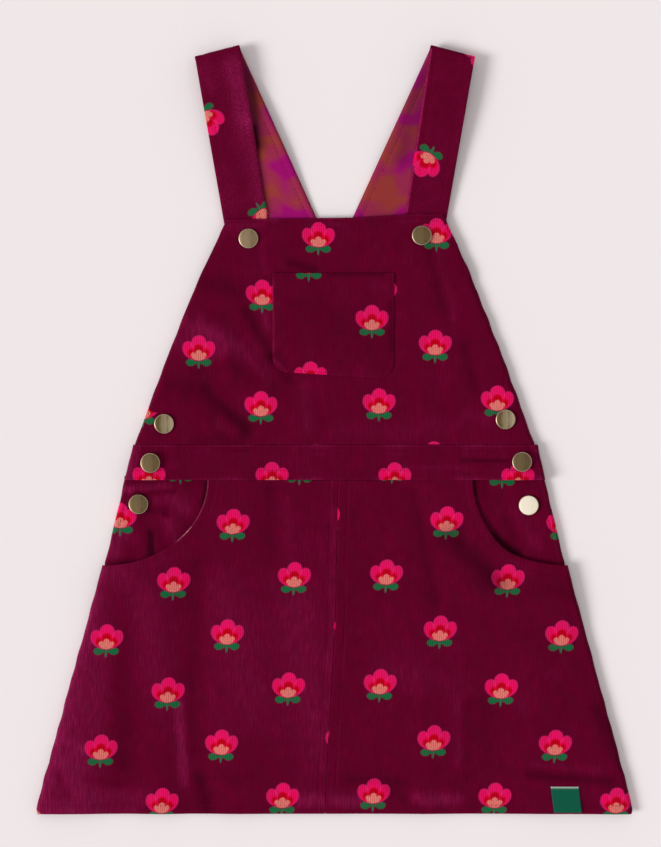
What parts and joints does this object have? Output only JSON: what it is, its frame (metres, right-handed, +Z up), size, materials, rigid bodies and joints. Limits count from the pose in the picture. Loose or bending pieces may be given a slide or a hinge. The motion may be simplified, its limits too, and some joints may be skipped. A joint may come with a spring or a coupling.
{
  "type": "pinafore dress",
  "caption": "Child's dungaree-style pinafore dress laid flat: bib with patch pocket, folded shoulder straps, waistband, A-line skirt with scooped pockets, metal snap caps.",
  "frame": {"origin": "on the surface the dress lies on, under the middle of its outline", "axes": "+Z up, out of the front; +Y from the hem to the shoulder folds; +X to the right of the laid-out front"},
  "size_m": [0.4495, 0.5767, 0.013],
  "materials": {
    "corduroy": "fine burgundy corduroy with a small printed flower repeat",
    "lining": "smooth printed cotton in soft rose and brown patches",
    "brass": "antique satin",
    "label": "plain woven tab",
    "thread": "matt sewing thread"
  },
  "bodies": {
    "root": {"back_skirt": "corduroy", "back_waistband": "corduroy", "back_bodice": "corduroy", "strap_left": "corduroy", "strap_right": "corduroy", "strap_lining_left": "lining", "strap_lining_right": "lining", "front_bib": "corduroy", "bib_pocket": "corduroy", "front_waistband": "corduroy", "front_skirt_left": "corduroy", "front_skirt_right": "corduroy", "pocket_backing_left": "corduroy", "pocket_backing_right": "corduroy", "snap_cap_bib_left": "brass", "snap_cap_bib_right": "brass", "snap_cap_side_left": "brass", "snap_cap_side_right": "brass", "snap_cap_band_left": "brass", "snap_cap_band_right": "brass", "snap_cap_hip_left": "brass", "snap_cap_hip_right": "brass", "hem_label": "label"}
  },
  "joints": []
}
